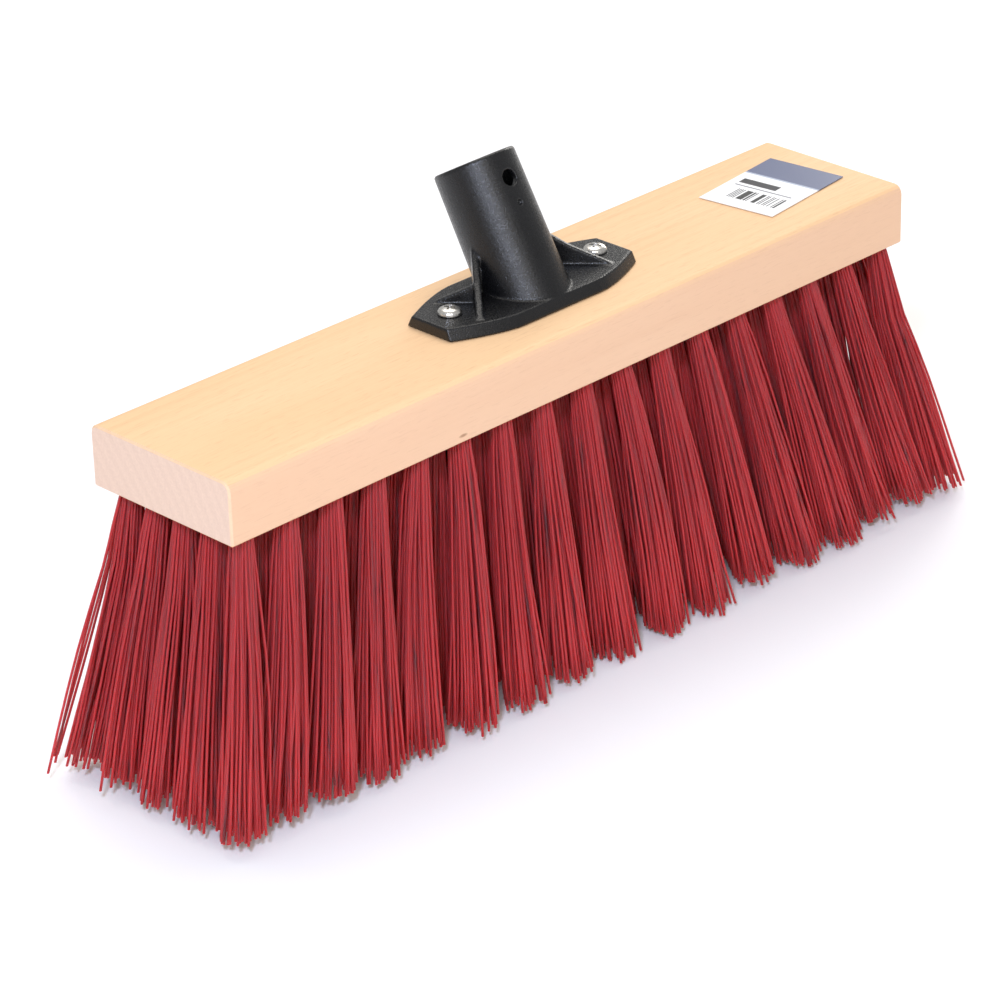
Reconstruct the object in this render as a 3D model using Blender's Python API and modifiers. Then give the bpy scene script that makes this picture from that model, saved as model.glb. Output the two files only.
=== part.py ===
"""Push broom head: wooden block, bristle tufts, angled handle socket, two screws and a paper label.

Units are metres, +Z is up and +X runs along the block. The head stands on its bristle tips at z = 0.
"""
from math import cos, pi, radians, sin

import bmesh
import bpy
from mathutils import Matrix, Vector

MM = 0.001
GAP = 0.3 * MM                      # clearance kept between pieces that touch
OVERCUT = 1.0 * MM                  # how far a cutter or a joined foot runs past the surface
CORNER_ANGLE = radians(40.0)        # faces that meet at more than this keep a crisp edge

# Wooden block
BLOCK_LENGTH = 380.0 * MM
BLOCK_WIDTH = 77.6 * MM
BLOCK_THICKNESS = 26.0 * MM
BLOCK_TOP_ROUND = 3.8 * MM          # along the two long top edges
BLOCK_EDGE_ROUND = 0.8 * MM         # every other edge

# Bristle tufts, set in a rectangular grid of blind holes that fan outwards
TUFT_COLUMNS = 17
TUFT_ROWS = 5
BRISTLE_LENGTH = 115.5 * MM         # from the block's underside to the tips
ROOT_MIDDLE_X = 2.0 * MM
ROOT_SPAN_X = 360.0 * MM            # between the first and last column at the underside
ROOT_SPAN_Y = 60.0 * MM
FAN_X = 27.0 * MM                   # how far an end column's tips lean out
FAN_Y = 15.0 * MM                   # how far a side row's tips lean out
SWEEP_X = -3.5 * MM                 # every tip also leans this way
SWEEP_Y = -8.0 * MM
TUFT_SIDES = 10
ROOT_RADIUS = 4.3 * MM
MOUTH_RADIUS = 5.0 * MM
MOUTH_DROP = 6.0 * MM               # the tuft has opened to MOUTH_RADIUS this far below the block
TIP_RADIUS = 9.4 * MM
INNER_TIP_RADIUS_Y = 12.4 * MM      # inner tufts spread into their neighbours at the tips
INNER_SHORTFALL = 0.6 * MM          # the second and fourth rows stop this far above the middle row
HOLE_DEPTH = 14.0 * MM
HOLE_RADIUS = ROOT_RADIUS + 0.35 * MM
TUFT_INSET = HOLE_DEPTH - 0.5 * MM  # how far a tuft reaches into its hole

BLOCK_BOTTOM = BRISTLE_LENGTH
BLOCK_TOP = BLOCK_BOTTOM + BLOCK_THICKNESS

# Socket plate
SOCKET_X = 3.0 * MM
SOCKET_Y = 1.0 * MM
PLATE_BOTTOM = BLOCK_TOP + GAP
PLATE_THICKNESS = 4.8 * MM
PLATE_TOP = PLATE_BOTTOM + PLATE_THICKNESS
PLATE_HALF_LENGTH = 52.9 * MM
PLATE_HALF_WIDTH = 22.6 * MM        # at the middle, on the wood
PLATE_STRAIGHT = 22.0 * MM          # half length of the parallel middle
PLATE_END_HALF_WIDTH = 12.0 * MM    # half width of the flat ends
PLATE_TAPER_POWER = 1.5             # the sides curve in towards the ends
PLATE_TAPER_STEPS = 7
PLATE_SIDE_DRAFT = 2.2 * MM         # how far the long sides lean in by the top
PLATE_END_DRAFT = 0.4 * MM
PLATE_EDGE_ROUND = 0.6 * MM

# Socket tube
TUBE_LEAN = radians(30.0)           # towards +Y from the vertical
TUBE_BASE = Vector((SOCKET_X, -1.2 * MM, BLOCK_TOP))
TUBE_LENGTH = 57.5 * MM
TUBE_FOOT = 20.0 * MM               # how far it runs on below before the plate trims it
TUBE_BASE_RADIUS = 17.8 * MM
TUBE_RIM_RADIUS = 17.05 * MM
TUBE_RIM_ROUND = 1.1 * MM
TUBE_SIDES = 48
BORE_RADIUS = 14.3 * MM
BORE_BOTTOM = 11.0 * MM             # distance along the axis from TUBE_BASE
BORE_LEAD_IN = 0.9 * MM             # depth of the 45 degree chamfer inside the rim
LEAD_IN_START = 0.1 * MM            # its cone starts this much narrower than the bore
FIXING_HOLE_ALONG = 46.0 * MM
FIXING_HOLE_RADIUS = 3.4 * MM
FIXING_HOLE_SIDES = 20
PILOT_DIMPLE_ALONG = 35.4 * MM
PILOT_DIMPLE_RADIUS = 1.2 * MM
PILOT_DIMPLE_DEPTH = 1.5 * MM
PILOT_DIMPLE_SIDES = 12

# Side webs and diagonal ribs of the socket, measured from the plate's middle
WEB_HALF_WIDTH = 17.6 * MM
WEB_FRONT = -1.0 * MM
WEB_BACK = 11.0 * MM
WEB_HEIGHT = 18.0 * MM
RIB_THICKNESS = 2.8 * MM
RIB_TIP = Vector((37.2 * MM, 12.9 * MM))
RIB_CROSSING_X = 25.8 * MM
RIB_WALL = Vector((17.8 * MM, 9.0 * MM))
RIB_TIP_HEIGHT = 0.4 * MM
RIB_CROSSING_HEIGHT = 8.2 * MM
RIB_FAR_HEIGHT = 7.8 * MM           # the short ribs stop just under the long ones
RIB_WALL_HEIGHT = 17.5 * MM
RIB_OVERRUN = 3.0 * MM              # how far a rib runs on into what it joins

# Screws
SCREW_SPACING = 82.4 * MM
SCREW_MIDDLE_X = SOCKET_X + 0.3 * MM
SCREW_Y = SOCKET_Y + 0.3 * MM
SCREW_HEAD_RADIUS = 4.9 * MM
SCREW_HEAD_HEIGHT = 2.7 * MM
SCREW_HEAD_RIM = 0.4 * MM           # upright edge under the dome
SCREW_DOME_STEPS = 6
SCREW_DOME_FLATNESS = 0.8           # below 1 flattens the crown
SCREW_SHANK_RADIUS = 2.1 * MM
SCREW_LENGTH = 15.5 * MM
SCREW_POINT = 3.5 * MM
SCREW_SEGMENTS = 24
SCREW_PLATE_HOLE_RADIUS = 2.6 * MM
SCREW_HOLE_SIDES = 16
SCREW_PILOT_RADIUS = 2.5 * MM
SCREW_PILOT_SIDES = 12
CROSS_LENGTH = 5.0 * MM
CROSS_WIDTH = 1.1 * MM
CROSS_DEPTH = 1.5 * MM
CROSS_TURN = radians(25.0)

# Label
LABEL_LENGTH = 53.0 * MM
LABEL_WIDTH = 37.0 * MM
LABEL_THICKNESS = 0.3 * MM
LABEL_MIDDLE = Vector((151.2 * MM, 0.5 * MM))
LABEL_TURN = radians(7.0)


def clear_scene():
    for obj in list(bpy.data.objects):
        bpy.data.objects.remove(obj, do_unlink=True)


def new_collection(name):
    collection = bpy.data.collections.new(name)
    bpy.context.scene.collection.children.link(collection)
    return collection


def new_material(name, colour, roughness, metallic=0.0):
    material = bpy.data.materials.new(name)
    material.use_nodes = True
    shader = material.node_tree.nodes["Principled BSDF"]
    shader.inputs["Base Color"].default_value = (*colour, 1.0)
    shader.inputs["Roughness"].default_value = roughness
    shader.inputs["Metallic"].default_value = metallic
    return material


def new_object(name, bm, collection, material=None, location=(0.0, 0.0, 0.0), turn=0.0):
    bmesh.ops.recalc_face_normals(bm, faces=bm.faces)
    mesh = bpy.data.meshes.new(name)
    bm.to_mesh(mesh)
    bm.free()
    obj = bpy.data.objects.new(name, mesh)
    collection.objects.link(obj)
    obj.location = location
    obj.rotation_euler = (0.0, 0.0, turn)
    if material is not None:
        mesh.materials.append(material)
    return obj


def smooth(obj):
    """Shades the round faces smooth and keeps the corners crisp."""
    obj.data.shade_smooth()
    obj.data.set_sharp_from_angle(angle=CORNER_ANGLE)


def new_cutter(name, bm):
    """A guide solid that only shapes other pieces."""
    obj = new_object(name, bm, CUTTERS)
    obj.hide_render = True
    obj.display_type = "WIRE"
    return obj


def add_boolean(obj, cutter, operation):
    modifier = obj.modifiers.new(cutter.name, "BOOLEAN")
    modifier.object = cutter
    modifier.operation = operation


def box_between(low, high):
    bm = bmesh.new()
    middle = (Vector(low) + Vector(high)) / 2
    size = Vector(high) - Vector(low)
    bmesh.ops.create_cube(bm, size=1.0)
    bmesh.ops.scale(bm, vec=size, verts=bm.verts)
    bmesh.ops.translate(bm, vec=middle, verts=bm.verts)
    return bm


def cone_along(start, direction, start_radius, end_radius, length, sides):
    """A closed cone or cylinder from start along direction."""
    bm = bmesh.new()
    bmesh.ops.create_cone(bm, cap_ends=True, segments=sides, radius1=start_radius, radius2=end_radius,
                          depth=length)
    bmesh.ops.translate(bm, vec=(0.0, 0.0, length / 2), verts=bm.verts)
    turn = direction.to_track_quat("Z", "Y").to_matrix().to_4x4()
    bmesh.ops.transform(bm, matrix=Matrix.Translation(start) @ turn, verts=bm.verts)
    return bm


def prism(outline, extrusion):
    """A flat outline swept along one straight vector."""
    bm = bmesh.new()
    face = bm.faces.new([bm.verts.new(point) for point in outline])
    swept = bmesh.ops.extrude_face_region(bm, geom=[face])["geom"]
    moved = [item for item in swept if isinstance(item, bmesh.types.BMVert)]
    bmesh.ops.translate(bm, vec=extrusion, verts=moved)
    return bm


def append_mesh(bm, part):
    """Adds the part's mesh to bm."""
    mesh = bpy.data.meshes.new("part")
    part.to_mesh(mesh)
    part.free()
    bm.from_mesh(mesh)
    bpy.data.meshes.remove(mesh)


# ---------------------------------------------------------------- tufts

def grid_fraction(index, count):
    """-1 at the first of count places and +1 at the last."""
    return 2.0 * index / (count - 1) - 1.0


def tuft_root(column, row):
    across = grid_fraction(column, TUFT_COLUMNS)
    along = grid_fraction(row, TUFT_ROWS)
    return Vector((ROOT_MIDDLE_X + across * ROOT_SPAN_X / 2, along * ROOT_SPAN_Y / 2, BLOCK_BOTTOM))


def tuft_lean(column, row):
    """Sideways travel in X and Y for each metre down."""
    travel_x = SWEEP_X + FAN_X * sin(grid_fraction(column, TUFT_COLUMNS) * pi / 2)
    travel_y = SWEEP_Y + FAN_Y * grid_fraction(row, TUFT_ROWS)
    return travel_x / BRISTLE_LENGTH, travel_y / BRISTLE_LENGTH


def lean_matrix(lean):
    return Matrix(((1, 0, -lean[0], 0), (0, 1, -lean[1], 0), (0, 0, 1, 0), (0, 0, 0, 1)))


def extend_down(bm, face, drop, scale_x, scale_y):
    """Extrudes the downward face and returns the new one, resized about its middle."""
    new_face = bmesh.ops.extrude_discrete_faces(bm, faces=[face])["faces"][0]
    middle = new_face.calc_center_median()
    about = Matrix.Translation(-middle)
    bmesh.ops.scale(bm, vec=(scale_x, scale_y, 1.0), verts=new_face.verts, space=about)
    bmesh.ops.translate(bm, vec=(0.0, 0.0, -drop), verts=new_face.verts)
    return new_face


def tuft_solid(lean, tip_radius_y, length=BRISTLE_LENGTH):
    """A tuft about its root: a peg in the hole, a quick flare at the mouth, then a long cone."""
    bm = bmesh.new()
    bmesh.ops.create_cone(bm, cap_ends=True, segments=TUFT_SIDES, radius1=ROOT_RADIUS,
                          radius2=ROOT_RADIUS, depth=TUFT_INSET + GAP)
    bmesh.ops.translate(bm, vec=(0.0, 0.0, (TUFT_INSET - GAP) / 2), verts=bm.verts)
    bm.faces.ensure_lookup_table()
    end = min(bm.faces, key=lambda face: face.calc_center_median().z)
    opening = MOUTH_RADIUS / ROOT_RADIUS
    end = extend_down(bm, end, MOUTH_DROP - GAP, opening, opening)
    extend_down(bm, end, length - MOUTH_DROP, TIP_RADIUS / MOUTH_RADIUS, tip_radius_y / MOUTH_RADIUS)
    bmesh.ops.transform(bm, matrix=lean_matrix(lean), verts=bm.verts)
    return bm


def build_outer_tufts(material):
    for row in range(TUFT_ROWS):
        for column in range(TUFT_COLUMNS):
            at_end = column in (0, TUFT_COLUMNS - 1)
            at_side = row in (0, TUFT_ROWS - 1)
            if at_end or at_side:
                name = f"tuft_r{row + 1}_c{column + 1:02d}"
                solid = tuft_solid(tuft_lean(column, row), TIP_RADIUS)
                smooth(new_object(name, solid, PARTS, material, tuft_root(column, row)))


def build_inner_tufts(material):
    """The inner tufts of each column, which spread into one another at the tips."""
    middle_row = TUFT_ROWS // 2
    for column in range(1, TUFT_COLUMNS - 1):
        solid = tuft_solid(tuft_lean(column, middle_row), INNER_TIP_RADIUS_Y)
        bundle = new_object(f"tufts_inner_c{column + 1:02d}", solid, PARTS, material,
                            tuft_root(column, middle_row))
        smooth(bundle)
        for row in (middle_row - 1, middle_row + 1):
            side_tuft = tuft_solid(tuft_lean(column, row), INNER_TIP_RADIUS_Y,
                                   BRISTLE_LENGTH - INNER_SHORTFALL)
            bmesh.ops.translate(side_tuft, vec=tuft_root(column, row), verts=side_tuft.verts)
            add_boolean(bundle, new_cutter(f"join_c{column + 1:02d}_r{row + 1}", side_tuft), "UNION")


# ---------------------------------------------------------------- block

def tuft_holes():
    """All the slanted blind holes as one set of solids."""
    bm = bmesh.new()
    for row in range(TUFT_ROWS):
        for column in range(TUFT_COLUMNS):
            hole = cone_along(Vector((0.0, 0.0, -OVERCUT)), Vector((0.0, 0.0, 1.0)), HOLE_RADIUS,
                              HOLE_RADIUS, HOLE_DEPTH + OVERCUT, TUFT_SIDES)
            bmesh.ops.transform(hole, matrix=lean_matrix(tuft_lean(column, row)), verts=hole.verts)
            bmesh.ops.translate(hole, vec=tuft_root(column, row), verts=hole.verts)
            append_mesh(bm, hole)
    return bm


def is_long_top_edge(edge):
    return all(vert.co.z > BLOCK_BOTTOM + BLOCK_THICKNESS / 2 for vert in edge.verts) and \
        abs(edge.verts[0].co.x - edge.verts[1].co.x) > BLOCK_LENGTH / 2


def build_block(material):
    half_length = BLOCK_LENGTH / 2
    half_width = BLOCK_WIDTH / 2
    bm = box_between((-half_length, -half_width, BLOCK_BOTTOM), (half_length, half_width, BLOCK_TOP))
    long_edges = [edge for edge in bm.edges if is_long_top_edge(edge)]
    bmesh.ops.bevel(bm, geom=long_edges, offset=BLOCK_TOP_ROUND, offset_type="OFFSET", segments=4,
                    profile=0.5, affect="EDGES")
    sharp_edges = [edge for edge in bm.edges if edge.calc_face_angle(0.0) > CORNER_ANGLE]
    bmesh.ops.bevel(bm, geom=sharp_edges, offset=BLOCK_EDGE_ROUND, offset_type="OFFSET", segments=1,
                    profile=0.5, affect="EDGES")
    block = new_object("block", bm, PARTS, material)
    add_boolean(block, new_cutter("tuft_holes", tuft_holes()), "DIFFERENCE")
    for side in (-1, 1):
        start = Vector((screw_x(side), SCREW_Y, BLOCK_TOP - pilot_depth()))
        pilot = cone_along(start, Vector((0.0, 0.0, 1.0)), SCREW_PILOT_RADIUS, SCREW_PILOT_RADIUS,
                           pilot_depth() + OVERCUT, SCREW_PILOT_SIDES)
        add_boolean(block, new_cutter(f"pilot_{side_name(side)}", pilot), "DIFFERENCE")


# ---------------------------------------------------------------- screws

def screw_x(side):
    return SCREW_MIDDLE_X + side * SCREW_SPACING / 2


def side_name(side):
    return "left" if side < 0 else "right"


def screw_seat():
    return PLATE_TOP + GAP


def pilot_depth():
    return BLOCK_TOP - (screw_seat() - SCREW_LENGTH) + 2 * GAP


def screw_profile():
    """Half section of a pan-head screw about its seat, from the crown down the outside."""
    dome_height = SCREW_HEAD_HEIGHT - SCREW_HEAD_RIM
    dome = []
    for step in range(SCREW_DOME_STEPS + 1):
        angle = step / SCREW_DOME_STEPS * pi / 2
        dome.append((SCREW_HEAD_RADIUS * sin(angle) ** SCREW_DOME_FLATNESS,
                     SCREW_HEAD_RIM + dome_height * cos(angle)))
    shank = [
        (SCREW_HEAD_RADIUS, 0.0),
        (SCREW_SHANK_RADIUS, 0.0),
        (SCREW_SHANK_RADIUS, -SCREW_LENGTH + SCREW_POINT),
        (0.0, -SCREW_LENGTH),
    ]
    return dome + shank


def cross_recess(name, side):
    """Two crossed bars that cut the driver recess."""
    arms = ((CROSS_LENGTH, CROSS_WIDTH), (CROSS_WIDTH, CROSS_LENGTH))
    crown = screw_seat() + SCREW_HEAD_HEIGHT
    place = Matrix.Translation((screw_x(side), SCREW_Y, crown)) @ Matrix.Rotation(CROSS_TURN, 4, "Z")
    cutters = []
    for index, (length, width) in enumerate(arms):
        arm = box_between((-length / 2, -width / 2, -CROSS_DEPTH), (length / 2, width / 2, OVERCUT))
        bmesh.ops.transform(arm, matrix=place, verts=arm.verts)
        cutters.append(new_cutter(f"{name}_recess_{index + 1}", arm))
    return cutters


def build_screw(side, material):
    name = f"screw_{side_name(side)}"
    bm = bmesh.new()
    points = [bm.verts.new((radius, 0.0, height)) for radius, height in screw_profile()]
    for upper, lower in zip(points, points[1:]):
        bm.edges.new((upper, lower))
    screw = new_object(name, bm, PARTS, material, (screw_x(side), SCREW_Y, screw_seat()))
    turned = screw.modifiers.new("turned", "SCREW")
    turned.axis = "Z"
    turned.steps = SCREW_SEGMENTS
    turned.render_steps = SCREW_SEGMENTS
    turned.use_merge_vertices = True
    turned.merge_threshold = 0.00001
    for cutter in cross_recess(name, side):
        add_boolean(screw, cutter, "DIFFERENCE")


# ---------------------------------------------------------------- socket

def tube_axis():
    return Vector((0.0, sin(TUBE_LEAN), cos(TUBE_LEAN)))


def tube_front():
    """Unit vector square to the tube's axis, out of its upper front side."""
    return Vector((0.0, -cos(TUBE_LEAN), sin(TUBE_LEAN)))


def on_axis(along):
    return TUBE_BASE + tube_axis() * along


def plate_half_outline():
    """Corner points (x, half width) of one end's side, from the parallel middle to the flat end."""
    taper = PLATE_HALF_LENGTH - PLATE_STRAIGHT
    fall = PLATE_HALF_WIDTH - PLATE_END_HALF_WIDTH
    points = []
    for step in range(PLATE_TAPER_STEPS + 1):
        fraction = step / PLATE_TAPER_STEPS
        points.append((PLATE_STRAIGHT + taper * fraction,
                       PLATE_HALF_WIDTH - fall * fraction ** PLATE_TAPER_POWER))
    return points


def plate_outline(side_inset, end_inset):
    """The closed outline, drawn in from the full one by the two insets."""
    shrink = (PLATE_HALF_LENGTH - end_inset) / PLATE_HALF_LENGTH
    quarter = [(x * shrink, y - side_inset) for x, y in plate_half_outline()]
    upper = [(-x, y) for x, y in reversed(quarter)] + quarter
    lower = [(x, -y) for x, y in reversed(upper)]
    return upper + lower


def plate_solid():
    """The boat-shaped plate, with sides that lean in towards the top."""
    full = plate_outline(0.0, 0.0)
    drawn_in = plate_outline(PLATE_SIDE_DRAFT, PLATE_END_DRAFT)
    bm = prism([(x + SOCKET_X, y + SOCKET_Y, PLATE_BOTTOM) for x, y in full],
               (0.0, 0.0, PLATE_THICKNESS))
    lookup = {(round(x / MM, 3), round(y / MM, 3)): place for (x, y), place in zip(full, drawn_in)}
    for vert in bm.verts:
        if vert.co.z > PLATE_BOTTOM + PLATE_THICKNESS / 2:
            key = (round((vert.co.x - SOCKET_X) / MM, 3), round((vert.co.y - SOCKET_Y) / MM, 3))
            x, y = lookup[key]
            vert.co.x = x + SOCKET_X
            vert.co.y = y + SOCKET_Y
    top_edges = [edge for edge in bm.edges
                 if all(vert.co.z > PLATE_TOP - 0.1 * MM for vert in edge.verts)]
    bmesh.ops.bevel(bm, geom=top_edges, offset=PLATE_EDGE_ROUND, offset_type="OFFSET", segments=2,
                    profile=0.5, affect="EDGES")
    return bm


def tube_radius(along):
    """The tube's outer radius at a distance along its axis."""
    return TUBE_BASE_RADIUS + (TUBE_RIM_RADIUS - TUBE_BASE_RADIUS) * along / TUBE_LENGTH


def tube_solid():
    """The tapered outside of the tube, with its rim edge rounded."""
    bm = cone_along(on_axis(-TUBE_FOOT), tube_axis(), tube_radius(-TUBE_FOOT), TUBE_RIM_RADIUS,
                    TUBE_LENGTH + TUBE_FOOT, TUBE_SIDES)
    rim_plane = on_axis(TUBE_LENGTH).dot(tube_axis())
    rim = [edge for edge in bm.edges
           if all(abs(vert.co.dot(tube_axis()) - rim_plane) < 0.01 * MM for vert in edge.verts)]
    bmesh.ops.bevel(bm, geom=rim, offset=TUBE_RIM_ROUND, offset_type="OFFSET", segments=2, profile=0.5,
                    affect="EDGES")
    return bm


def below_plate():
    """Everything under the plate's top skin, which trims the tube's slanted foot."""
    reach = 2 * PLATE_HALF_LENGTH
    middle_of_plate = PLATE_BOTTOM + PLATE_THICKNESS / 2
    return box_between((-reach, -reach, PLATE_BOTTOM - reach), (reach, reach, middle_of_plate))


def web_solid():
    """The upright flanks that fill in under the tube's widest lines."""
    outline = [(WEB_FRONT, -OVERCUT), (WEB_BACK, -OVERCUT), (WEB_BACK, WEB_HEIGHT)]
    return prism([(SOCKET_X - WEB_HALF_WIDTH, SOCKET_Y + y, PLATE_TOP + z) for y, z in outline],
                 (2 * WEB_HALF_WIDTH, 0.0, 0.0))


def rib_solid(tip, inner, heights, overrun):
    """An upright fin from its tip to the inner point, whose top edge passes through the heights.

    heights lists (distance from the tip, height above the plate) pairs, and the last one moves
    along by the overrun.
    """
    inward = (inner - tip).normalized()
    sideways = Vector((-inward.y, inward.x)) * RIB_THICKNESS / 2
    run, wall_height = heights[-1][0] + overrun, heights[-1][1]
    outline = [(0.0, -OVERCUT)] + heights[:-1] + [(run, wall_height), (run, -OVERCUT)]
    points = []
    for along, height in outline:
        place = tip + inward * along - sideways
        points.append((SOCKET_X + place.x, SOCKET_Y + place.y, PLATE_TOP + height))
    return prism(points, (2 * sideways.x, 2 * sideways.y, 0.0))


def rib_solids():
    """A long rib and a short one at each end, on either side of the screw."""
    solids = []
    for side in (-1, 1):
        crossing = Vector((side * RIB_CROSSING_X, 0.0))
        wall = Vector((side * RIB_WALL.x, RIB_WALL.y))
        near_tip = Vector((side * RIB_TIP.x, -RIB_TIP.y))
        far_tip = Vector((side * RIB_TIP.x, RIB_TIP.y))
        near_heights = [
            (0.0, RIB_TIP_HEIGHT),
            ((crossing - near_tip).length, RIB_CROSSING_HEIGHT),
            ((wall - near_tip).length, RIB_WALL_HEIGHT),
        ]
        far_heights = [
            (0.0, RIB_TIP_HEIGHT),
            ((crossing - far_tip).length, RIB_FAR_HEIGHT),
        ]
        solids.append((f"rib_near_{side_name(side)}",
                       rib_solid(near_tip, wall, near_heights, RIB_OVERRUN)))
        solids.append((f"rib_far_{side_name(side)}",
                       rib_solid(far_tip, crossing, far_heights, -RIB_THICKNESS / 4)))
    return solids


def build_socket(material):
    tube = new_object("handle_socket", tube_solid(), PARTS, material)
    smooth(tube)
    add_boolean(tube, new_cutter("trim_foot", below_plate()), "DIFFERENCE")
    add_boolean(tube, new_cutter("plate", plate_solid()), "UNION")
    add_boolean(tube, new_cutter("webs", web_solid()), "UNION")
    for name, solid in rib_solids():
        add_boolean(tube, new_cutter(name, solid), "UNION")
    bore = cone_along(on_axis(BORE_BOTTOM), tube_axis(), BORE_RADIUS, BORE_RADIUS, TUBE_LENGTH, TUBE_SIDES)
    add_boolean(tube, new_cutter("bore", bore), "DIFFERENCE")
    lead_in = cone_along(on_axis(TUBE_LENGTH - BORE_LEAD_IN), tube_axis(), BORE_RADIUS - LEAD_IN_START,
                         BORE_RADIUS - LEAD_IN_START + 2 * BORE_LEAD_IN, 2 * BORE_LEAD_IN, TUBE_SIDES)
    add_boolean(tube, new_cutter("lead_in", lead_in), "DIFFERENCE")
    fixing = cone_along(on_axis(FIXING_HOLE_ALONG), tube_front(), FIXING_HOLE_RADIUS,
                        FIXING_HOLE_RADIUS, 2 * TUBE_BASE_RADIUS, FIXING_HOLE_SIDES)
    add_boolean(tube, new_cutter("fixing_hole", fixing), "DIFFERENCE")
    dimple_floor = tube_radius(PILOT_DIMPLE_ALONG) - PILOT_DIMPLE_DEPTH
    dimple_start = on_axis(PILOT_DIMPLE_ALONG) + tube_front() * dimple_floor
    dimple = cone_along(dimple_start, tube_front(), PILOT_DIMPLE_RADIUS, PILOT_DIMPLE_RADIUS,
                        2 * PILOT_DIMPLE_DEPTH, PILOT_DIMPLE_SIDES)
    add_boolean(tube, new_cutter("pilot_dimple", dimple), "DIFFERENCE")
    for side in (-1, 1):
        start = Vector((screw_x(side), SCREW_Y, PLATE_BOTTOM - OVERCUT))
        hole = cone_along(start, Vector((0.0, 0.0, 1.0)), SCREW_PLATE_HOLE_RADIUS,
                          SCREW_PLATE_HOLE_RADIUS, PLATE_THICKNESS + 2 * OVERCUT, SCREW_HOLE_SIDES)
        add_boolean(tube, new_cutter(f"screw_hole_{side_name(side)}", hole), "DIFFERENCE")


# ---------------------------------------------------------------- label

def build_label(material):
    bottom = BLOCK_TOP + GAP
    bm = box_between((-LABEL_LENGTH / 2, -LABEL_WIDTH / 2, 0.0),
                     (LABEL_LENGTH / 2, LABEL_WIDTH / 2, LABEL_THICKNESS))
    new_object("label", bm, PARTS, material, (LABEL_MIDDLE.x, LABEL_MIDDLE.y, bottom), LABEL_TURN)


clear_scene()
PARTS = new_collection("push_broom_head")
CUTTERS = new_collection("cutters")

build_block(new_material("beech", (0.86, 0.62, 0.36), 0.55))
build_socket(new_material("black_plastic", (0.018, 0.018, 0.02), 0.42))
steel = new_material("zinc_steel", (0.72, 0.70, 0.66), 0.28, 1.0)
build_screw(-1, steel)
build_screw(1, steel)
build_label(new_material("label_paper", (0.85, 0.85, 0.83), 0.6))
bristle = new_material("red_bristle", (0.36, 0.018, 0.025), 0.42)
build_outer_tufts(bristle)
build_inner_tufts(bristle)
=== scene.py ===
# Looks for the push broom head: filament tufts, beech grain, moulded plastic, plated screws
# and a printed label. Lengths are in metres, and colours are linear red, green and blue.

from math import atan2, cos, pi, radians, sin, sqrt

import bmesh
import bpy
import numpy as np
from mathutils import Matrix, Vector


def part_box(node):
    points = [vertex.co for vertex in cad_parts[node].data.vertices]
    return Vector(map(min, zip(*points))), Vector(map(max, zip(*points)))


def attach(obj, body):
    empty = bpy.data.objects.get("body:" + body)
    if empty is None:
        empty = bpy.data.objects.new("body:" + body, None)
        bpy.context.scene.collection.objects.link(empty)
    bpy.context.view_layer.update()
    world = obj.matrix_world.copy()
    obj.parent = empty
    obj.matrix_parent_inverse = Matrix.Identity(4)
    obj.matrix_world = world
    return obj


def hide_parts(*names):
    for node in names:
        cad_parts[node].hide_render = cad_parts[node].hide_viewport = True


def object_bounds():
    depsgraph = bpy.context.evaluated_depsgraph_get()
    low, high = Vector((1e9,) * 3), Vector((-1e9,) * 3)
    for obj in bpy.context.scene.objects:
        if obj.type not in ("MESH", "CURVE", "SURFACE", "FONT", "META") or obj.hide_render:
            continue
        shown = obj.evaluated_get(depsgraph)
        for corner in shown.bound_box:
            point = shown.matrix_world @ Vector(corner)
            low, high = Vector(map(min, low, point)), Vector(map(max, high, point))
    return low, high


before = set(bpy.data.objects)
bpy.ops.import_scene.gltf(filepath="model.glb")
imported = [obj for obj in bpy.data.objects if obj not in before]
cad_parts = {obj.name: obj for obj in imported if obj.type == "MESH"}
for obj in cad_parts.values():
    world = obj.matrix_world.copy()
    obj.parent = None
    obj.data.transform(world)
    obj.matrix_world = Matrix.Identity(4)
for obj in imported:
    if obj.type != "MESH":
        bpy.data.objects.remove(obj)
CAD_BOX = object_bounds()
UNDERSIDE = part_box("block")[0].z    # of the block, over the floor
MM = 0.001

# Camera: where the photograph was taken from, in the row frame
CAMERA_PLACE = Vector((-1.03593, -1.03485, UNDERSIDE + 0.66953))
CAMERA_AZIMUTH = radians(-44.63)
CAMERA_ELEVATION = radians(26.60)
CAMERA_ROLL = radians(-1.54)
CAMERA_LENS = 145.07
CAMERA_SENSOR = 36.0
CAMERA_NEAR = 0.05

# Stage
WHITE = (1.0, 1.0, 1.0, 1.0)
WORLD_STRENGTH = 0.49
LIGHT_TARGET = Vector((0.0, 0.0, 0.1))
FLOOR_HALF_SIZE = 6.0
FLOOR_DROP = 0.3 * MM               # the floor lies this far below z = 0
FLOOR_GREY = (0.95, 0.95, 0.95)

# Beech
PITH_Y = 130.0 * MM                 # the growth rings run round this line along X
PITH_Z = 50.0 * MM
RING_PITCH = 5.0 * MM
RING_WANDER = 22.0 * MM
KNOT_X = -71.4 * MM                 # a small dark pin knot on the near face
KNOT_HEIGHT = 3.2 * MM              # over the block's underside
KNOT_HALF_LENGTH = 2.6 * MM
KNOT_HALF_HEIGHT = 0.8 * MM
BEECH_PALE = (0.87, 0.585, 0.33)
BEECH_WARM = (0.84, 0.54, 0.285)
RING_BROWN = (0.76, 0.46, 0.235)
FIBRE_BROWN = (0.70, 0.45, 0.27)
FLECK_BROWN = (0.55, 0.32, 0.17)
FRONT_PINK = (0.76, 0.485, 0.355)   # the near face is pinker than the top
END_PALE = (0.80, 0.59, 0.46)
END_PORE = (0.64, 0.45, 0.35)
END_RING = (0.60, 0.41, 0.31)
KNOT_BROWN = (0.30, 0.14, 0.07)

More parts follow.
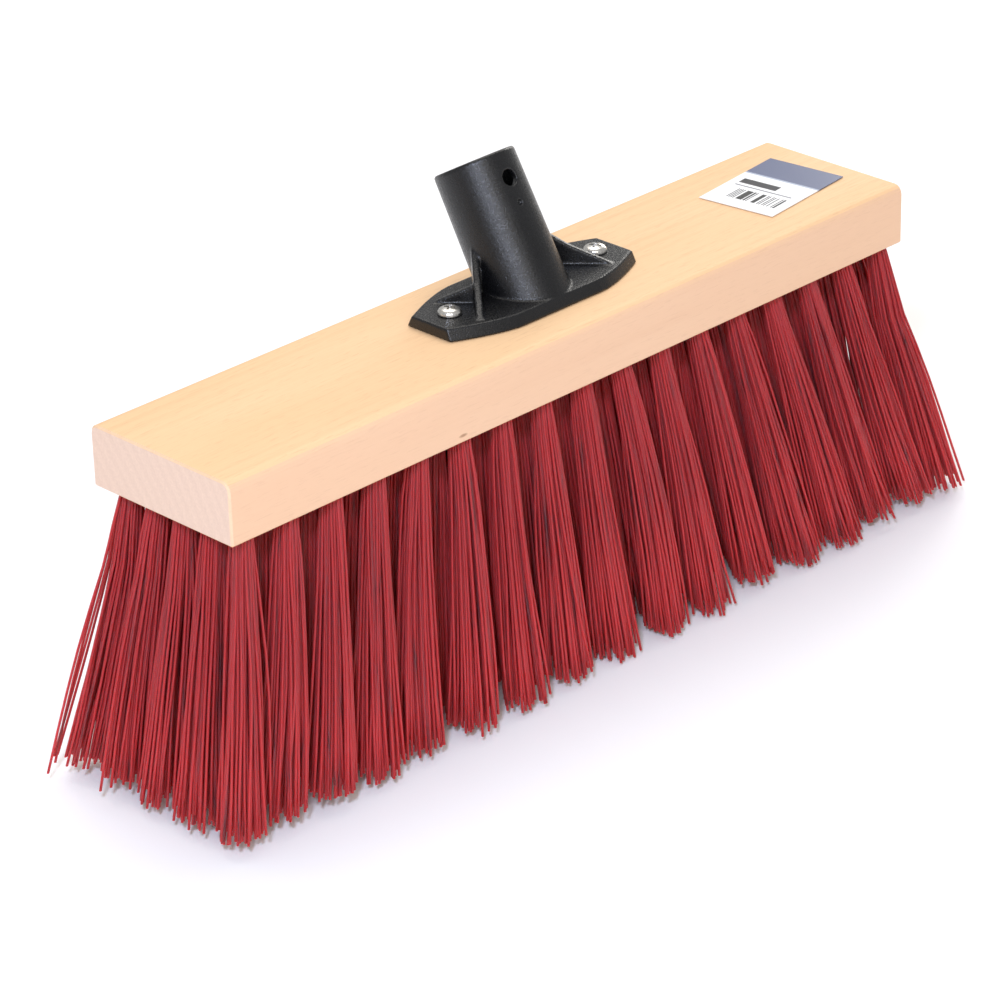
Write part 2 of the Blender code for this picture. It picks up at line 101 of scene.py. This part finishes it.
# Socket
PLASTIC_BLACK = (0.0025, 0.0025, 0.003)
PLASTIC_WORN = (0.006, 0.006, 0.007)
SOCKET_WELD = 0.01 * MM
SOCKET_VOXEL = 0.5 * MM
SOFTEN_FACTOR = 0.5
SOFTEN_STEPS = 5
FINE_FACE_SHARE = 0.35              # share of the remeshed faces that is kept

# Screws
ZINC_BRIGHT = (0.80, 0.78, 0.74)
ZINC_GRIMY = (0.60, 0.58, 0.55)

# Label print. Each box is low and high along the label, then low and high across it, from its middle.
LABEL_END = 27.0 * MM               # just past the end of the paper
BAND_START = 8.5 * MM               # of the coloured end
STRIPE_WIDTH = 1.2 * MM
HEADING = (-3.2 * MM, 1.6 * MM, -4.0 * MM, 14.5 * MM)
RULE = (-6.2 * MM, -5.3 * MM, -14.0 * MM, 14.5 * MM)
BARS = (-19.0 * MM, -9.0 * MM, -14.0 * MM, 11.0 * MM)
BAR_PITCH = 0.5 * MM
BLANK_SHARE = 0.48                  # of the bar pattern
PAPER_WHITE = (0.90, 0.90, 0.89)
PAPER_SHADE = (0.84, 0.84, 0.83)
BAND_BLUE = (0.125, 0.145, 0.235)
STRIPE_BLUE = (0.42, 0.46, 0.56)
HEADING_BLACK = (0.035, 0.035, 0.04)
RULE_GREY = (0.22, 0.22, 0.24)
BAR_BLACK = (0.03, 0.03, 0.03)

# Filament plastic
RED_DARK = (0.345, 0.024, 0.029)
RED_LIGHT = (0.41, 0.034, 0.040)
# painted light: the lighter red that the filaments are tinted towards at their tips
RED_TIP_PAINTED_LIGHT = (0.60, 0.052, 0.058)
RED_STREAK = (0.44, 0.048, 0.056)
TIP_LIGHT_START = 65.0 * MM          # painted light: the filaments grow lighter from this height
TIP_LIGHT_END = 5.0 * MM             # down to this one, as if the tips caught more light than the shaded roots
SCATTER_WEIGHT = 0.85
SCATTER_SPREAD = (1.0, 0.12, 0.10)  # red light travels furthest inside the plastic
SCATTER_REACH = 2.5 * MM
TONE_MIDDLE = 0.5
TONE_SPREAD = 0.25

# Tufts
TUFT_COLUMNS = 17
TUFT_ROWS = 5
RING_TOLERANCE = 0.05 * MM          # a CAD ring's points lie within this of one level
SEED = 17
FILAMENTS = 76                      # in each tuft
COUNT_SPREAD = 3                    # more or fewer from tuft to tuft
FILAMENT_RADIUS = 0.56 * MM
FILAMENT_SIDES = 6
FILAMENT_RINGS = 9
RING_CROWDING = 1.15                # above 1 puts more rings near the block
PACKING = 0.4                       # below 0.5 crowds the filaments towards the tuft's outside
GOLDEN_ANGLE = pi * (3 - sqrt(5))
START_DEPTH = 7.0 * MM              # how far up the hole a filament is drawn
HOLE_SPREAD = 3.8 * MM              # radius of the bunch of filament centres in the hole
MOUTH_SPREAD = 4.7 * MM
MOUTH_DROP = 7.0 * MM
TIP_SPREAD = 9.9 * MM
SWIRL = radians(9)
TUFT_DRIFT = 1.1 * MM               # how far a whole tuft's tips stand off their place
TUFT_BOW = 0.9 * MM
TIP_JITTER = 1.15 * MM              # how far each filament's tip strays from its place in the tuft
JITTER_POWER = 1.5                  # above 1 keeps that straying near the tips
FILAMENT_BOW = 0.55 * MM
FILAMENT_WAVE = 0.22 * MM
WAVE_HALF_TURNS = 3
TRIM_SPREAD = 2.1 * MM              # how unevenly the filaments are cut
TUFT_TRIM = 3.0 * MM                # how unevenly whole tufts are cut
SHORT_SHARE = 0.05                  # a few filaments are shorter still
SHORT_BY = (2.0 * MM, 8.0 * MM)
UNRULY_SHARE = 0.035                # a few stand out further
UNRULY_FACTOR = 3.0

# Bends of the end tufts
CORNER_TUCK = np.array((5.0 * MM, 4.0 * MM))    # the near left corner tuft leans out less
LEFT_TUCK = 3.0 * MM                # the left end's tufts bend in by this, most in the last row
RIGHT_TUCK = 5.0 * MM               # and so does the near corner tuft at the right end
TUCK_DROP = 34.0 * MM               # the bend is complete this far below the block
RIGHT_SPLAY = 2.6 * MM              # the tufts behind that corner fill the gap beside it
SPLAY_DROP = 9.0 * MM
STRAYS = 4                          # filaments that stand out of the far corner at the left end
STRAY_REACH = 9.0 * MM
STRAY_LEAST = 0.35                  # the shortest reach, as a share of the longest
STRAY_BEND = 0.62 * pi
SIDE_MARGIN = 1.8 * MM              # how far a filament's middle may stand outside the CAD box


# ---------------------------------------------------------------- node helpers

class Shader:
    """A material's node tree, with short calls for the nodes that the finishes use."""

    def __init__(self, name, roughness=0.5, metallic=0.0, specular=0.5):
        self.material = bpy.data.materials.new(name)
        self.material.use_nodes = True
        self.tree = self.material.node_tree
        self.surface = self.tree.nodes["Principled BSDF"]
        self.surface.inputs["Roughness"].default_value = roughness
        self.surface.inputs["Metallic"].default_value = metallic
        self.surface.inputs["Specular IOR Level"].default_value = specular

    def feed(self, socket, value):
        if isinstance(value, bpy.types.NodeSocket):
            self.tree.links.new(value, socket)
        elif isinstance(value, tuple) and socket.type == "RGBA" and len(value) == 3:
            socket.default_value = (*value, 1.0)
        else:
            socket.default_value = value

    def set(self, name, value):
        self.feed(self.surface.inputs[name], value)

    def position(self, scale=(1.0, 1.0, 1.0), turn=0.0, origin=(0.0, 0.0, 0.0)):
        """Object coordinates about an origin, turned about Z and stretched."""
        coordinates = self.tree.nodes.new("ShaderNodeTexCoord")
        shift = self.tree.nodes.new("ShaderNodeMapping")
        shift.vector_type = "TEXTURE"
        self.feed(shift.inputs["Location"], origin)
        self.feed(shift.inputs["Rotation"], (0.0, 0.0, turn))
        self.tree.links.new(coordinates.outputs["Object"], shift.inputs["Vector"])
        stretch = self.tree.nodes.new("ShaderNodeVectorMath")
        stretch.operation = "MULTIPLY"
        self.tree.links.new(shift.outputs["Vector"], stretch.inputs[0])
        stretch.inputs[1].default_value = scale
        return stretch.outputs["Vector"]

    def noise(self, vector, scale=1.0, detail=3.0, roughness=0.5):
        texture = self.tree.nodes.new("ShaderNodeTexNoise")
        self.feed(texture.inputs["Vector"], vector)
        self.feed(texture.inputs["Scale"], scale)
        self.feed(texture.inputs["Detail"], detail)
        self.feed(texture.inputs["Roughness"], roughness)
        return texture.outputs["Fac"]

    def random_by(self, number):
        """A random value from 0 to 1 for each whole number."""
        texture = self.tree.nodes.new("ShaderNodeTexWhiteNoise")
        texture.noise_dimensions = "1D"
        self.feed(texture.inputs["W"], number)
        return texture.outputs["Value"]

    def math(self, operation, first, second=0.0):
        node = self.tree.nodes.new("ShaderNodeMath")
        node.operation = operation
        self.feed(node.inputs[0], first)
        self.feed(node.inputs[1], second)
        return node.outputs["Value"]

    def sum_of_squares(self, first, second):
        first_square = self.math("MULTIPLY", first, first)
        return self.math("ADD", first_square, self.math("MULTIPLY", second, second))

    def between(self, value, low, high):
        """1 where the value lies between low and high, and 0 elsewhere."""
        above = self.math("GREATER_THAN", value, low)
        return self.math("MULTIPLY", above, self.math("LESS_THAN", value, high))

    def rectangle(self, along, across, sides):
        low_along, high_along, low_across, high_across = sides
        return self.math("MULTIPLY", self.between(along, low_along, high_along),
                         self.between(across, low_across, high_across))

    def separate(self, vector):
        split = self.tree.nodes.new("ShaderNodeSeparateXYZ")
        self.feed(split.inputs["Vector"], vector)
        return split.outputs["X"], split.outputs["Y"], split.outputs["Z"]

    def rescale(self, value, low, high, to_low=0.0, to_high=1.0):
        remap = self.tree.nodes.new("ShaderNodeMapRange")
        for name, item in (("Value", value), ("From Min", low), ("From Max", high),
                           ("To Min", to_low), ("To Max", to_high)):
            self.feed(remap.inputs[name], item)
        return remap.outputs["Result"]

    def mix(self, factor, first, second):
        mixer = self.tree.nodes.new("ShaderNodeMix")
        mixer.data_type = "RGBA"
        self.feed(mixer.inputs[0], factor)
        self.feed(mixer.inputs[6], first)
        self.feed(mixer.inputs[7], second)
        return mixer.outputs[2]

    def tint(self, colour, mask, strength, towards):
        """The colour, moved towards another by the mask times the strength."""
        return self.mix(self.math("MULTIPLY", mask, strength), colour, towards)

    def attribute(self, name):
        reader = self.tree.nodes.new("ShaderNodeAttribute")
        reader.attribute_name = name
        return reader.outputs["Fac"]

    def bump(self, height, strength, distance):
        bump = self.tree.nodes.new("ShaderNodeBump")
        self.feed(bump.inputs["Height"], height)
        bump.inputs["Strength"].default_value = strength
        bump.inputs["Distance"].default_value = distance
        return bump.outputs["Normal"]

    def face_normal(self):
        return self.separate(self.tree.nodes.new("ShaderNodeNewGeometry").outputs["Normal"])


# ---------------------------------------------------------------- beech

def ring_wave(shader, y, z):
    """The growth rings as a wave of the distance from the pith, which wanders along the grain."""
    slow = shader.noise(shader.position(scale=(3.0, 14.0, 14.0)), detail=2.0)
    wander = shader.math("MULTIPLY", shader.math("SUBTRACT", slow, 0.5), RING_WANDER)
    across = shader.math("ADD", shader.math("SUBTRACT", y, PITH_Y), wander)
    up = shader.math("ADD", shader.math("SUBTRACT", z, PITH_Z), wander)
    radius = shader.math("SQRT", shader.sum_of_squares(across, up))
    return shader.math("SINE", shader.math("MULTIPLY", radius, 2 * pi / RING_PITCH))


def long_grain(shader, wave, fibres, flecks):
    """The colour of the faces along the grain, with rings that come and go."""
    broad = shader.noise(shader.position(scale=(5.0, 22.0, 22.0)), detail=2.0)
    strength = shader.noise(shader.position(scale=(6.0, 60.0, 60.0)), detail=1.0)
    ring = shader.math("MULTIPLY", shader.rescale(wave, -0.2, 1.0), shader.rescale(strength, 0.35, 0.75))
    colour = shader.mix(shader.rescale(broad, 0.3, 0.7), BEECH_PALE, BEECH_WARM)
    colour = shader.tint(colour, ring, 0.42, RING_BROWN)
    colour = shader.tint(colour, fibres, 0.16, FIBRE_BROWN)
    return shader.tint(colour, flecks, 0.24, FLECK_BROWN)


def end_grain(shader, wave):
    """Pores and faint rings on the sawn ends."""
    pores = shader.noise(shader.position(scale=(900.0, 900.0, 900.0)), detail=2.0)
    colour = shader.tint(END_PALE, shader.rescale(pores, 0.3, 0.7), 0.35, END_PORE)
    return shader.tint(colour, shader.rescale(wave, -1.0, 1.0), 0.13, END_RING)


def knot_mask(shader, x, z):
    """1 at the heart of the pin knot, fading to 0 at its edge."""
    along = shader.math("DIVIDE", shader.math("SUBTRACT", x, KNOT_X), KNOT_HALF_LENGTH)
    rise = shader.math("SUBTRACT", z, UNDERSIDE + KNOT_HEIGHT)
    up = shader.math("DIVIDE", rise, KNOT_HALF_HEIGHT)
    return shader.rescale(shader.sum_of_squares(along, up), 1.0, 0.1)


def beech_material():
    """Bare sanded beech: faint growth rings, short dark flecks, end grain and one pin knot."""
    shader = Shader("beech", roughness=0.55, specular=0.35)
    x, y, z = shader.separate(shader.position())
    wave = ring_wave(shader, y, z)
    fibres = shader.noise(shader.position(scale=(16.0, 700.0, 700.0)), detail=3.0, roughness=0.6)
    fibres = shader.rescale(fibres, 0.3, 0.7)
    flecks = shader.noise(shader.position(scale=(140.0, 1500.0, 1500.0)), detail=1.0)
    flecks = shader.rescale(flecks, 0.58, 0.72)
    normal_x, normal_y, _ = shader.face_normal()
    front = shader.rescale(shader.math("MULTIPLY", normal_y, -1.0), 0.5, 0.9)
    end = shader.rescale(shader.math("ABSOLUTE", normal_x), 0.6, 0.9)
    knot = shader.math("MULTIPLY", knot_mask(shader, x, z), front)
    colour = shader.tint(long_grain(shader, wave, fibres, flecks), front, 0.55, FRONT_PINK)
    colour = shader.mix(end, colour, end_grain(shader, wave))
    shader.set("Base Color", shader.tint(colour, knot, 0.75, KNOT_BROWN))
    shader.set("Roughness", shader.rescale(fibres, 0.0, 1.0, 0.48, 0.64))
    raised = shader.math("MULTIPLY", fibres, 0.6)
    height = shader.math("ADD", raised, shader.math("MULTIPLY", flecks, -0.7))
    shader.set("Normal", shader.bump(height, 0.25, 0.15 * MM))
    return shader.material


# ---------------------------------------------------------------- plastic, steel and paper

def plastic_material():
    """Black moulded plastic with a fine spark-eroded texture."""
    shader = Shader("black_plastic", roughness=0.3, specular=0.5)
    cloud = shader.noise(shader.position(), scale=60.0, detail=3.0)
    shader.set("Base Color", shader.mix(shader.rescale(cloud, 0.3, 0.7), PLASTIC_BLACK, PLASTIC_WORN))
    patches = shader.noise(shader.position(), scale=900.0, detail=2.0)
    shader.set("Roughness", shader.rescale(patches, 0.3, 0.7, 0.22, 0.36))
    grain = shader.noise(shader.position(), scale=2300.0, detail=2.0, roughness=0.6)
    shader.set("Normal", shader.bump(grain, 0.9, 0.15 * MM))
    return shader.material


def steel_material():
    """Zinc-plated steel with a little grime."""
    shader = Shader("zinc_steel", roughness=0.25, metallic=1.0)
    cloud = shader.noise(shader.position(), scale=500.0, detail=4.0)
    shader.set("Base Color", shader.mix(shader.rescale(cloud, 0.35, 0.65), ZINC_BRIGHT, ZINC_GRIMY))
    shader.set("Roughness", shader.rescale(cloud, 0.3, 0.7, 0.18, 0.38))
    shader.set("Normal", shader.bump(shader.noise(shader.position(), scale=1500.0), 0.15, 0.05 * MM))
    return shader.material


def bristle_material():
    """Dark red plastic filament, a little different from one filament to the next, with painted light
    that makes it lighter towards the tips.
    """
    shader = Shader("red_filament", roughness=0.45, specular=0.3)
    _, _, height = shader.separate(shader.position())
    colour = shader.mix(shader.attribute("tone"), RED_DARK, RED_LIGHT)
    # painted light and shade: lighter towards the tips, darker in the shade under the block
    tip_painted_light = shader.rescale(height, TIP_LIGHT_START, TIP_LIGHT_END)
    colour = shader.tint(colour, tip_painted_light, 0.55, RED_TIP_PAINTED_LIGHT)
    streak = shader.noise(shader.position(scale=(600.0, 600.0, 60.0)), detail=2.0)
    colour = shader.mix(shader.rescale(streak, 0.45, 0.8, 0.0, 0.3), colour, RED_STREAK)
    shader.set("Base Color", colour)
    shader.set("Roughness", shader.rescale(streak, 0.3, 0.7, 0.38, 0.52))
    shader.surface.inputs["Subsurface Weight"].default_value = SCATTER_WEIGHT
    shader.surface.inputs["Subsurface Radius"].default_value = SCATTER_SPREAD
    shader.surface.inputs["Subsurface Scale"].default_value = SCATTER_REACH
    return shader.material


def label_material(middle, turn):
    """Printed paper: a slate-blue band, a dark block, a thin line and a pattern of bars."""
    shader = Shader("label_paper", roughness=0.45, specular=0.4)
    along, across, _ = shader.separate(shader.position(turn=turn, origin=tuple(middle)))
    paper_noise = shader.noise(shader.position(), scale=1200.0, detail=3.0)
    band = shader.between(along, BAND_START, LABEL_END)
    stripe = shader.between(along, BAND_START - STRIPE_WIDTH, BAND_START)
    bar_number = shader.math("FLOOR", shader.math("DIVIDE", across, BAR_PITCH))
    dark_bar = shader.math("GREATER_THAN", shader.random_by(bar_number), BLANK_SHARE)
    bars = shader.math("MULTIPLY", dark_bar, shader.rectangle(along, across, BARS))
    colour = shader.mix(shader.rescale(paper_noise, 0.3, 0.7), PAPER_WHITE, PAPER_SHADE)
    colour = shader.mix(band, colour, BAND_BLUE)
    colour = shader.mix(stripe, colour, STRIPE_BLUE)
    colour = shader.mix(shader.rectangle(along, across, HEADING), colour, HEADING_BLACK)
    colour = shader.mix(shader.rectangle(along, across, RULE), colour, RULE_GREY)
    shader.set("Base Color", shader.mix(bars, colour, BAR_BLACK))
    shader.set("Roughness", shader.rescale(band, 0.0, 1.0, 0.5, 0.3))
    shader.set("Normal", shader.bump(paper_noise, 0.08, 0.05 * MM))
    return shader.material


# ---------------------------------------------------------------- filament tufts

def ring_middle(node, at_tip):
    """The middle of a tuft node's lowest or highest ring."""
    points = np.array([vert.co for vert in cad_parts[node].data.vertices])
    level = points[:, 2].min() if at_tip else points[:, 2].max()
    ring = points[np.abs(points[:, 2] - level) < RING_TOLERANCE]
    return (ring.min(0) + ring.max(0)) / 2


def at_height(start, end, height):
    return start + (end - start) * (height - start[2]) / (end[2] - start[2])


def outer_tuft_line(row, column):
    """An outer tuft's root, at the block's underside, and its tip, from its CAD node."""
    node = f"tuft_r{row}_c{column:02d}"
    tip = ring_middle(node, True)
    return at_height(ring_middle(node, False), tip, UNDERSIDE), tip


def tuft_line(row, column):
    """Any tuft's root and tip, between those of the first and last rows of its column."""
    across = (row - 1) / (TUFT_ROWS - 1)
    first = outer_tuft_line(1, column)
    last = outer_tuft_line(TUFT_ROWS, column)
    return [near * (1 - across) + far * across for near, far in zip(first, last)]


def spread_at(height_below):
    """Radius of the bunch of filament centres, for distances below the block's underside."""
    steps = (-START_DEPTH, 0.0, MOUTH_DROP, UNDERSIDE)
    spreads = (HOLE_SPREAD, HOLE_SPREAD, MOUTH_SPREAD, TIP_SPREAD)
    return np.interp(height_below, steps, spreads)


def end_bend(row, column, drop):
    """How far along X the end columns bend aside from their straight lean."""
    if column == 1:
        amount, distance = LEFT_TUCK * (row - 1) / (TUFT_ROWS - 1), TUCK_DROP
    elif (row, column) == (1, TUFT_COLUMNS):
        amount, distance = -RIGHT_TUCK, TUCK_DROP
    elif column == TUFT_COLUMNS:
        amount, distance = RIGHT_SPLAY, SPLAY_DROP
    else:
        return 0.0
    share = np.clip(drop / distance, 0, 1)
    return amount * share ** 2 * (3 - 2 * share)


def disc_places(rng, count):
    """The filaments' places in a unit disc: at the hole, and at the tips after a slight swirl."""
    index = np.arange(count)
    twist = rng.uniform(0, 2 * pi)
    radius = ((index + 0.5) / count) ** PACKING
    angle = index * GOLDEN_ANGLE + twist
    disc = np.stack([radius * np.cos(angle), radius * np.sin(angle)], axis=1)
    swirl = rng.normal(0, SWIRL)
    return disc, disc @ np.array([[cos(swirl), sin(swirl)], [-sin(swirl), cos(swirl)]])


def filament_drops(rng, count, lean_x):
    """How far below the block each filament reaches: less where its tuft leans along the block."""
    shortfall = np.abs(rng.normal(0, TRIM_SPREAD, count)) + rng.uniform(0, TUFT_TRIM)
    shortfall += UNDERSIDE * (1 - 1 / sqrt(1 + (lean_x / UNDERSIDE) ** 2))
    short_ones = rng.random(count) < SHORT_SHARE
    shortfall[short_ones] += rng.uniform(*SHORT_BY, short_ones.sum())
    return UNDERSIDE - shortfall


def pull_strays_out(side, disc, free):
    """Bows a few of the outermost filaments out past the left end."""
    strays = np.argsort(disc[:, 0] - disc[:, 1])[:STRAYS]
    reach = np.linspace(STRAY_LEAST, 1.0, STRAYS)[:, None] * STRAY_REACH
    side[strays, :, 0] -= reach * np.sin(free[strays] * STRAY_BEND)


def filament_paths(rng, row, column):
    """Centre points of one tuft's filaments, as an array of (filament, ring, xyz)."""
    root, tip = tuft_line(row, column)
    lean = (tip - root)[:2]
    count = FILAMENTS + rng.integers(-COUNT_SPREAD, COUNT_SPREAD + 1)
    disc, swirled = disc_places(rng, count)
    tuft_shift = rng.normal(0, TUFT_DRIFT, 2)
    if (row, column) == (1, 1):
        tuft_shift = tuft_shift + CORNER_TUCK
    tuft_bow = rng.normal(0, TUFT_BOW, 2)
    length = filament_drops(rng, count, lean[0])
    unruly = np.where(rng.random(count) < UNRULY_SHARE, UNRULY_FACTOR, 1.0)[:, None]
    tip_jitter = rng.normal(0, TIP_JITTER, (count, 2)) * unruly
    bow = rng.normal(0, FILAMENT_BOW, (count, 2)) * unruly
    wave = rng.normal(0, FILAMENT_WAVE, (count, 2))
    along = np.linspace(0, 1, FILAMENT_RINGS) ** RING_CROWDING
    drop = -START_DEPTH + (length[:, None] + START_DEPTH) * along
    share = (drop / UNDERSIDE)[..., None]
    free = np.clip(share, 0, 1)         # 0 inside the hole, where a filament is held
    centre = root[:2] + lean * share + tuft_shift * free + tuft_bow * np.sin(pi * free)
    place = disc[:, None, :] * (1 - free) + swirled[:, None, :] * free
    side = centre + place * spread_at(drop)[..., None]
    side = side + tip_jitter[:, None, :] * free ** JITTER_POWER
    side = side + bow[:, None, :] * np.sin(pi * free)
    side = side + wave[:, None, :] * np.sin(WAVE_HALF_TURNS * pi * free)
    side[..., 0] += end_bend(row, column, drop)
    if (row, column) == (TUFT_ROWS, 1):
        pull_strays_out(side, swirled, free[..., 0])
    low, high = CAD_BOX
    side[..., 0] = np.clip(side[..., 0], low[0] - STRAY_REACH, high[0] + SIDE_MARGIN)
    side[..., 1] = np.clip(side[..., 1], low[1] - SIDE_MARGIN, high[1] + SIDE_MARGIN)
    return np.concatenate([side, (UNDERSIDE - drop)[..., None]], axis=2)


def filament_mesh(name, paths, tones):
    """Closed tubes along the paths, with a tone value on each filament."""
    count, rings, _ = paths.shape
    sides = FILAMENT_SIDES
    angle = np.arange(sides) * 2 * pi / sides
    circle = np.stack([np.cos(angle), np.sin(angle), np.zeros(sides)], axis=1) * FILAMENT_RADIUS
    points = paths[:, :, None, :] + circle
    ring_start = np.arange(count)[:, None, None] * rings * sides + np.arange(rings - 1)[:, None] * sides
    corner = np.arange(sides)
    following = (corner + 1) % sides
    low, high = ring_start, ring_start + sides
    walls = np.stack([low + corner, high + corner, high + following, low + following], axis=-1)
    tube_start = np.arange(count)[:, None] * rings * sides
    top_caps = tube_start + corner
    end_caps = tube_start + (rings - 1) * sides + corner[::-1]
    faces = walls.reshape(-1, 4).tolist() + top_caps.tolist() + end_caps.tolist()
    mesh = bpy.data.meshes.new(name)
    mesh.from_pydata(points.reshape(-1, 3).tolist(), [], faces)
    smooth = np.ones(len(faces), bool)
    smooth[-2 * count:] = False
    mesh.polygons.foreach_set("use_smooth", smooth)
    attribute = mesh.attributes.new("tone", "FLOAT", "POINT")
    attribute.data.foreach_set("value", np.repeat(tones, rings * sides).astype(np.float32))
    mesh.update()
    return mesh

def make_tufts(name, tuft_places, node, material, rng):
    paths = np.concatenate([filament_paths(rng, row, column) for row, column in tuft_places])
    tones = np.clip(rng.normal(TONE_MIDDLE, TONE_SPREAD, len(paths)), 0, 1)
    mesh = filament_mesh(name, paths, tones)
    mesh.materials.append(material)
    piece = bpy.data.objects.new(name, mesh)
    bpy.context.scene.collection.objects.link(piece)
    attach(piece, "root")
    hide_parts(node)


def make_bristles():
    """The outer tufts one by one, and then the inner ones, with each column's in one piece."""
    material = bristle_material()
    rng = np.random.default_rng(SEED)
    for row in range(1, TUFT_ROWS + 1):
        for column in range(1, TUFT_COLUMNS + 1):
            if row in (1, TUFT_ROWS) or column in (1, TUFT_COLUMNS):
                place = f"r{row}_c{column:02d}"
                make_tufts(f"bristles_{place}", [(row, column)], f"tuft_{place}", material, rng)
    for column in range(2, TUFT_COLUMNS):
        places = [(row, column) for row in range(2, TUFT_ROWS)]
        make_tufts(f"bristles_inner_c{column:02d}", places, f"tufts_inner_c{column:02d}", material, rng)


# ---------------------------------------------------------------- socket, and CAD nodes that stay

def finish_node(name, material):
    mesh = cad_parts[name].data
    mesh.materials.clear()
    mesh.materials.append(material)


def add_softening(piece):
    """Modifiers that remesh the piece finely and round its edges off."""
    weld = piece.modifiers.new("weld", "WELD")
    weld.merge_threshold = SOCKET_WELD
    remesh = piece.modifiers.new("remesh", "REMESH")
    remesh.mode = "VOXEL"
    remesh.voxel_size = SOCKET_VOXEL
    soften = piece.modifiers.new("soften", "SMOOTH")
    soften.factor = SOFTEN_FACTOR
    soften.iterations = SOFTEN_STEPS
    thin = piece.modifiers.new("thin", "DECIMATE")
    thin.ratio = FINE_FACE_SHARE


def make_socket():
    """The moulded socket, with the small radii that moulding leaves on every edge."""
    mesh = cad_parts["handle_socket"].data.copy()
    mesh.name = "socket_moulding"
    piece = bpy.data.objects.new("socket_moulding", mesh)
    bpy.context.scene.collection.objects.link(piece)
    add_softening(piece)
    evaluated = piece.evaluated_get(bpy.context.evaluated_depsgraph_get())
    fine = bpy.data.meshes.new_from_object(evaluated)
    fine.name = "socket_moulding"
    piece.modifiers.clear()
    piece.data = fine
    fine.shade_smooth()
    fine.materials.clear()
    fine.materials.append(plastic_material())
    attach(piece, "root")
    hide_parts("handle_socket")


def make_label():
    """Prints the label square to its own edges, whose turn is read from its near long edge."""
    low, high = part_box("label")
    corners = [vert.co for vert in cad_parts["label"].data.vertices]
    near = min(corners, key=lambda corner: (round(corner.y, 5), corner.x))
    right = max(corners, key=lambda corner: (round(corner.x, 5), corner.y))
    turn = atan2(right.y - near.y, right.x - near.x)
    finish_node("label", label_material((low + high) / 2, turn))


# ---------------------------------------------------------------- stage

def make_camera():
    camera = bpy.data.objects.new("camera", bpy.data.cameras.new("camera"))
    bpy.context.scene.collection.objects.link(camera)
    camera.data.lens = CAMERA_LENS
    camera.data.sensor_width = CAMERA_SENSOR
    camera.data.clip_start = CAMERA_NEAR
    level = Vector((cos(CAMERA_AZIMUTH), sin(CAMERA_AZIMUTH), 0.0))
    outward = Vector((sin(CAMERA_AZIMUTH), -cos(CAMERA_AZIMUTH), 0.0))
    back = outward * cos(CAMERA_ELEVATION) + Vector((0.0, 0.0, sin(CAMERA_ELEVATION)))
    upright = back.cross(level)
    right = level * cos(CAMERA_ROLL) + upright * sin(CAMERA_ROLL)
    up = upright * cos(CAMERA_ROLL) - level * sin(CAMERA_ROLL)
    turn = Matrix((right, up, back)).transposed().to_4x4()
    camera.matrix_world = Matrix.Translation(CAMERA_PLACE) @ turn
    bpy.context.scene.camera = camera


def make_floor():
    bm = bmesh.new()
    bmesh.ops.create_grid(bm, x_segments=1, y_segments=1, size=FLOOR_HALF_SIZE)
    mesh = bpy.data.meshes.new("floor")
    bm.to_mesh(mesh)
    bm.free()
    floor = bpy.data.objects.new("floor", mesh)
    floor.location.z = -FLOOR_DROP
    bpy.context.scene.collection.objects.link(floor)
    shader = Shader("floor", roughness=0.9, specular=0.1)
    shader.set("Base Color", FLOOR_GREY)
    mesh.materials.append(shader.material)


def make_light(name, place, size, power, colour):
    data = bpy.data.lights.new(name, "AREA")
    data.shape = "DISK"
    data.size = size
    data.energy = power
    data.color = colour
    light = bpy.data.objects.new(name, data)
    light.location = place
    light.rotation_euler = (LIGHT_TARGET - Vector(place)).to_track_quat("-Z", "Y").to_euler()
    bpy.context.scene.collection.objects.link(light)


def make_lights():
    """A white surround, and four round lights given by place, size, power and colour."""
    world = bpy.data.worlds.new("studio")
    world.use_nodes = True
    background = world.node_tree.nodes["Background"]
    background.inputs["Color"].default_value = WHITE
    background.inputs["Strength"].default_value = WORLD_STRENGTH
    bpy.context.scene.world = world
    make_light("key", (-1.20, -0.92, 1.30), 0.24, 21.0, (0.66, 0.75, 1.0))
    make_light("front", (-1.0, -1.35, 1.05), 1.5, 12.0, (1.0, 0.94, 0.86))
    make_light("top", (0.6, 0.8, 2.1), 1.6, 23.0, (1.0, 0.96, 0.91))
    make_light("back", (1.5, 0.7, 0.6), 0.6, 6.0, (1.0, 0.97, 0.92))


def main():
    make_camera()
    make_floor()
    make_lights()
    finish_node("block", beech_material())
    make_socket()
    steel = steel_material()
    finish_node("screw_left", steel)
    finish_node("screw_right", steel)
    make_label()
    make_bristles()
    bpy.context.scene.view_settings.view_transform = "Standard"


main()
